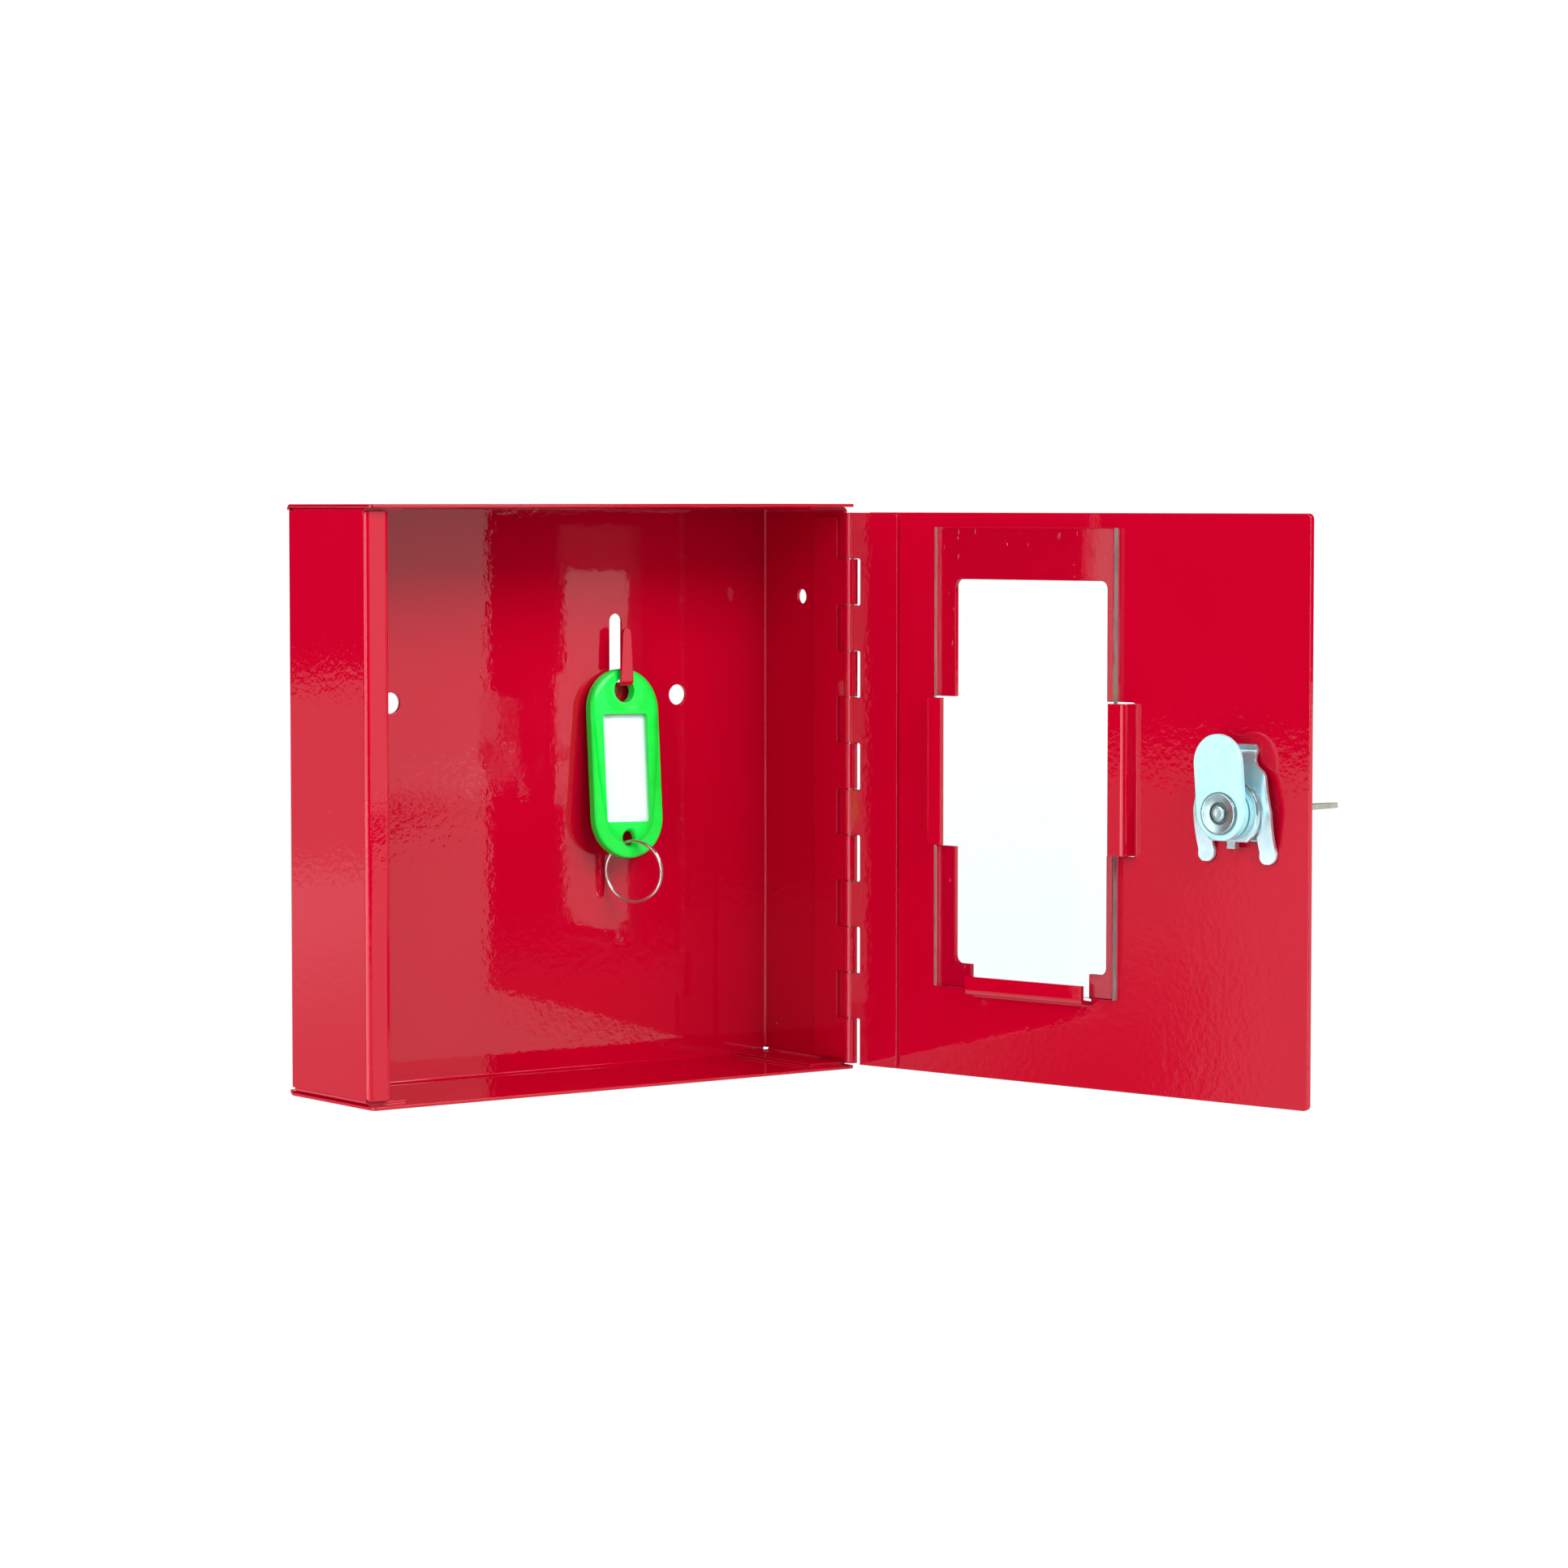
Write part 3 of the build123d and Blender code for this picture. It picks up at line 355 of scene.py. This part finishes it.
MATERIALS = {
    "red_paint": red_paint(),
    "pin_steel": plated("pin_steel", (0.45, 0.45, 0.46), (0.6, 0.6, 0.6)),
    "zinc": plated("zinc", (0.62, 0.80, 0.84), (0.78, 0.93, 0.96), rough=(0.12, 0.20), metallic=0.85),
    "clip_steel": clip_steel(),
    "zinc_plate": plated(
        "zinc_plate", (0.42, 0.78, 0.84), (0.52, 0.90, 0.94), rough=(0.28, 0.40), metallic=0.25
    ),
    "bright_steel": turned_steel(),
    "key_steel": plated(
        "key_steel", (0.50, 0.50, 0.42), (0.68, 0.67, 0.58), rough=(0.22, 0.34), metallic=0.45
    ),
    "green_plastic": green_plastic(),
    "white_paper": white_paper(),
    "clear_plastic": clear_film(),
    "pane_glass": pane_glass(),
    "ring_steel": plated(
        "ring_steel", (0.66, 0.63, 0.58), (0.88, 0.86, 0.82), rough=(0.08, 0.16), metallic=0.9
    ),
    "wafer_brass": plated("wafer_brass", (0.55, 0.38, 0.14), (0.70, 0.52, 0.22)),
    "spring_steel": plated("spring_steel", (0.5, 0.5, 0.5), (0.65, 0.65, 0.65)),
}

# ---------------------------------------------------------------- pieces
for part in frame["record"]["subparts"]:
    piece = nodes[part["node"]]
    piece.data.materials.clear()
    piece.data.materials.append(MATERIALS[part["material_slot"]])

# The clear film is drawn a hair smaller, so that it lies clear of the card behind it
film = nodes["tag_window"].modifiers.new("film_clearance", "DISPLACE")
film.mid_level = 0.0
film.strength = -0.04 * MM


def mesh_object(name, verts, faces):
    mesh = bpy.data.meshes.new(name)
    mesh.from_pydata(verts, [], faces)
    mesh.update()
    obj = bpy.data.objects.new(name, mesh)
    bpy.context.scene.collection.objects.link(obj)
    return obj


def lathe(name, origin, axis, profile, turns=112, crease=38.0):
    """A turned piece from a profile of (radius, height along the axis)."""
    side = axis.cross(Vector((0.0, 0.0, 1.0))).normalized()
    up = axis.cross(side)
    verts = []
    faces = []
    for radius, height in profile:
        for k in range(turns):
            a = 2.0 * math.pi * k / turns
            verts.append(origin + axis * height + (side * math.cos(a) + up * math.sin(a)) * radius)
    for low in range(0, (len(profile) - 1) * turns, turns):
        high = low + turns
        for k in range(turns):
            following = (k + 1) % turns
            faces.append((low + k, high + k, high + following, low + following))
    faces.append(tuple(reversed(range(turns))))
    faces.append(tuple(range((len(profile) - 1) * turns, len(profile) * turns)))
    obj = mesh_object(name, verts, faces)
    mesh = obj.data
    bm = bmesh.new()
    bm.from_mesh(mesh)
    bmesh.ops.recalc_face_normals(bm, faces=bm.faces)
    bm.to_mesh(mesh)
    bm.free()
    for polygon in mesh.polygons:
        polygon.use_smooth = True
    mesh.set_sharp_from_angle(angle=math.radians(crease))
    return obj


def rounded(radius, height, steps):
    """Points set back from a corner at the radius and height by the steps, in millimetres."""
    return [(radius + across * MM, height - down * MM) for across, down in steps]


def peened_rivet():
    """The cam's rivet: a stem, a rim, a dish that slopes in from it, and a pin in a well."""
    stem = [(STEM_RADIUS, -STEM_LENGTH), (STEM_RADIUS, 0.0)]
    rim = [(RIM_RADIUS, 0.0)]
    rim += rounded(RIM_RADIUS, RIM_HEIGHT, [(0, 0.28), (-0.04, 0.16), (-0.14, 0.06), (-0.27, 0)])
    rim += rounded(RIM_RADIUS, RIM_HEIGHT, [(-0.5, 0), (-0.7, 0.03), (-0.9, 0.1)])
    dish = rounded(RIM_RADIUS, RIM_HEIGHT, [(-1.7, 0.28), (-2.2, 0.37), (-2.5, 0.4)])
    dish += rounded(WELL_RADIUS, RIM_HEIGHT, [(0.1, 0.44), (0.02, 0.54)])
    well = [(WELL_RADIUS, WELL_HEIGHT), (PIN_RADIUS, WELL_HEIGHT)]
    pin = rounded(PIN_RADIUS, PIN_HEIGHT, [(-0.02, 0.35), (-0.12, 0.17), (-0.3, 0.05), (-0.7, 0)])
    pin += rounded(PIN_RADIUS, PIN_HEIGHT, [(-1.3, 0.02), (-1.8, 0.05), (-2.05, 0.05)])
    return lathe("peened_rivet", LOCK + INWARD * CAM_BACK, INWARD, stem + rim + dish + well + pin)


rivet = peened_rivet()
rivet.data.materials.append(MATERIALS["bright_steel"])
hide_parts("cam_rivet")
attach(rivet, "lock_core")

# ---------------------------------------------------------------- stage
FLOOR_Z = -1.4
FLOOR_OUTLINE = [
    (-22.9, 32.0), (-22.9, -12.0), (8.5, -14.8), (13.5, -20.5), (32.0, -20.5), (32.0, 32.0)
]


def pale_floor():
    """White to the camera and through the pane, matt grey to diffuse light.

    In reflections it is white near the box and dimmer beyond, in the areas below.
    """
    m = material("floor_pale")
    axes = m.axes()

    def disc(x, y, inner, outer, at_middle, outside):
        away = m.vector("DISTANCE", m.place(), Vector((x, y, FLOOR_Z)))
        return m.remap(away, inner, outer, at_middle, outside, smooth=True)

    # On the left: 0.70 up to a line that slants away behind the box, then 0.12 to 0.46
    # growing with the distance, and brighter in one disc
    left = m.math("MULTIPLY", axes["X"], -1.0)
    slant = m.math("DIVIDE", axes["Y"], m.math("MAXIMUM", left, 0.01))
    beyond_line = m.remap(slant, 0.452, 0.475)
    distant = disc(0.0, 0.0, 10.5, 16.0, 0.12, 0.46)
    on_left = m.math("MULTIPLY_ADD", beyond_line, m.math("SUBTRACT", distant, 0.70), 0.70)
    on_left = m.math("ADD", on_left, disc(-7.5, 10.0, 5.0, 5.6, 0.36, 0.0))
    # On the right: growing to white, with a dark disc in front
    on_right = m.remap(axes["X"], 0.0, 6.0, smooth=True)
    on_right = m.math("MULTIPLY", on_right, disc(10.0, -9.0, 3.0, 3.6, 0.0, 1.0))
    is_left = m.math("LESS_THAN", axes["X"], 0.0)
    strength = m.math("MULTIPLY_ADD", on_left, is_left, on_right)
    strength = m.math("MAXIMUM", strength, disc(0.0, 0.0, 2.0, 7.0, 1.0, 0.0))
    strength = m.math("MINIMUM", strength, 1.0)

    path = m.path()
    matt = m.shader("ShaderNodeBsdfDiffuse", Color=(0.85, 0.85, 0.85))
    reflected = m.shader("ShaderNodeEmission", Strength=strength)
    white = m.shader("ShaderNodeEmission", Color=(1.0, 1.0, 1.0))
    seen = m.math("MAXIMUM", path["Is Camera Ray"], path["Is Transmission Ray"])
    return m.finish(m.blend(seen, m.blend(path["Is Glossy Ray"], matt, reflected), white))


floor = mesh_object(
    "floor", [(x, y, FLOOR_Z) for x, y in FLOOR_OUTLINE], [tuple(range(len(FLOOR_OUTLINE)))]
)
floor.data.materials.append(pale_floor())


def studio_world():
    """White to the camera and through the pane, an even fill, and dark in reflections."""
    w = Tree(bpy.data.worlds.new("studio"), "ShaderNodeOutputWorld")
    path = w.path()
    before_diffuse = w.math("LESS_THAN", path["Diffuse Depth"], 0.5)
    through = w.math("MULTIPLY", path["Is Transmission Ray"], before_diffuse)
    seen = w.math("MAXIMUM", path["Is Camera Ray"], through)
    mirrored = w.math("SUBTRACT", path["Is Glossy Ray"], path["Is Transmission Ray"])
    mirrored = w.math("MAXIMUM", mirrored, 0.0)
    fill = w.shader("ShaderNodeBackground", Color=(0.97, 0.99, 1.0), Strength=0.60)
    dark = w.shader("ShaderNodeBackground", Color=(0.95, 0.98, 1.0), Strength=0.004)
    white = w.shader("ShaderNodeBackground", Color=(1.0, 1.0, 1.0), Strength=1.0)
    return w.finish(w.blend(seen, w.blend(mirrored, fill, dark), white))


bpy.context.scene.world = studio_world()


def lamp(name, place, target, size, power):
    light = bpy.data.lights.new(name, "AREA")
    light.shape = "RECTANGLE"
    light.size, light.size_y = size
    light.energy = power
    obj = bpy.data.objects.new(name, light)
    obj.location = place
    direction = Vector(target) - Vector(place)
    obj.rotation_euler = direction.to_track_quat("-Z", "Y").to_euler()
    bpy.context.scene.collection.objects.link(obj)
    return obj


lamp("front", (0.38, -1.16, 0.41), (0.38, 0.0, 0.41), (0.76, 1.04), 2.86)
lamp("front_edge", (1.01, -1.16, 0.41), (1.01, 0.0, 0.41), (0.5, 1.04), 0.50)
lamp("front_high", (0.25, -1.12, 0.80), (0.0, -0.05, 0.0), (1.2, 0.6), 16.5)
lamp("back_high", (-0.95, 0.52, 0.74), (0.08, -0.14, -0.02), (0.7, 0.5), 1.3)
# The two on the left light the part but aren't seen through the pane
for side_lamp in (
    lamp("left", (-1.30, 0.05, 0.22), (0.05, -0.08, -0.02), (0.6, 1.3), 9.6),
    lamp("left_strip", (-1.15, -0.60, 0.10), (0.08, -0.12, -0.02), (0.30, 1.2), 5.2),
):
    side_lamp.visible_transmission = False

# ---------------------------------------------------------------- camera
PHOTO_WIDTH = 1932.0        # pixels
FOCAL_LENGTH = 5894.0       # pixels
CAMERA_TILT = 3.432         # degrees below the level
CAMERA_TURN = 36.517        # degrees to the right of straight at the wall

cam = bpy.data.cameras.new("camera")
cam.sensor_width = 36.0
cam.lens = cam.sensor_width * FOCAL_LENGTH / PHOTO_WIDTH
cam.clip_start = 0.05
cam.clip_end = 100.0
camera = bpy.data.objects.new("camera", cam)
camera.location = (-0.6940, -1.0469, 0.0528)
camera.rotation_euler = (math.radians(90.0 - CAMERA_TILT), 0.0, -math.radians(CAMERA_TURN))
bpy.context.scene.collection.objects.link(camera)
bpy.context.scene.camera = camera
bpy.context.scene.view_settings.view_transform = "Standard"
